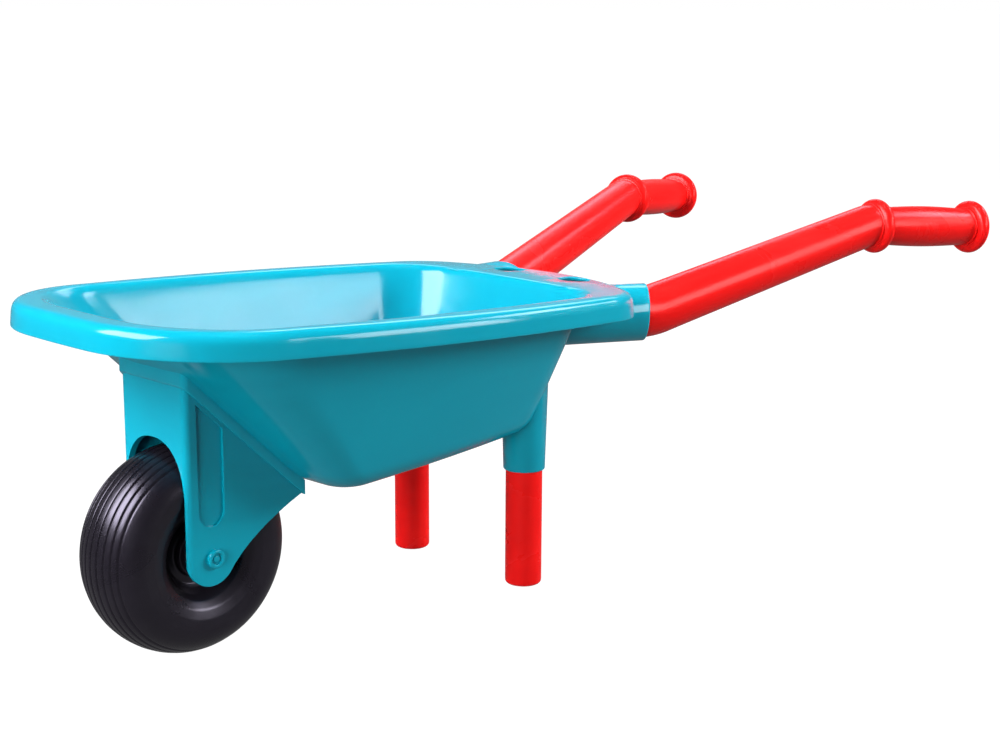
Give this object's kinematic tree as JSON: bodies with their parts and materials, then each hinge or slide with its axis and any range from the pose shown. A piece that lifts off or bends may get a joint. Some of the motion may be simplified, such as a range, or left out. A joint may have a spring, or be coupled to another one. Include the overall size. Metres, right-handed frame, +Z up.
{
  "type": "toy wheelbarrow",
  "caption": "Child's plastic wheelbarrow: deep tub with a wide rolled rim and rear deck, fat ribbed wheel in a clip-on fork, plug-in spread handles and tubular legs.",
  "frame": {"origin": "on the ground, under the centre of the whole barrow's bounding box", "axes": "+Z up; +Y from the wheel towards the handles; +X is on the left hand of someone who stands between the handles and faces the wheel, and is called the left side"},
  "size_m": [0.3358, 0.7281, 0.2456],
  "materials": {
    "teal_plastic": "glossy moulded polypropylene, turquoise",
    "red_plastic": "glossy moulded polypropylene, bright red",
    "black_plastic": "satin moulded plastic, black",
    "grey_plastic": "matt moulded plastic, dark grey"
  },
  "bodies": {
    "barrow": {"tub": "teal_plastic", "fork": "teal_plastic", "axle_pin": "teal_plastic", "axle_cap_left": "teal_plastic", "axle_cap_right": "teal_plastic", "handle_left": "red_plastic", "handle_right": "red_plastic", "leg_left": "red_plastic", "leg_right": "red_plastic"},
    "wheel": {"wheel": "black_plastic", "hub_bush_left": "grey_plastic", "hub_bush_right": "grey_plastic"}
  },
  "joints": [
    {"name": "wheel_spin", "type": "hinge", "parent": "barrow", "child": "wheel", "pos_m": [0, -0.2835, 0.065], "axis": [1, 0, 0], "continuous": true}
  ]
}
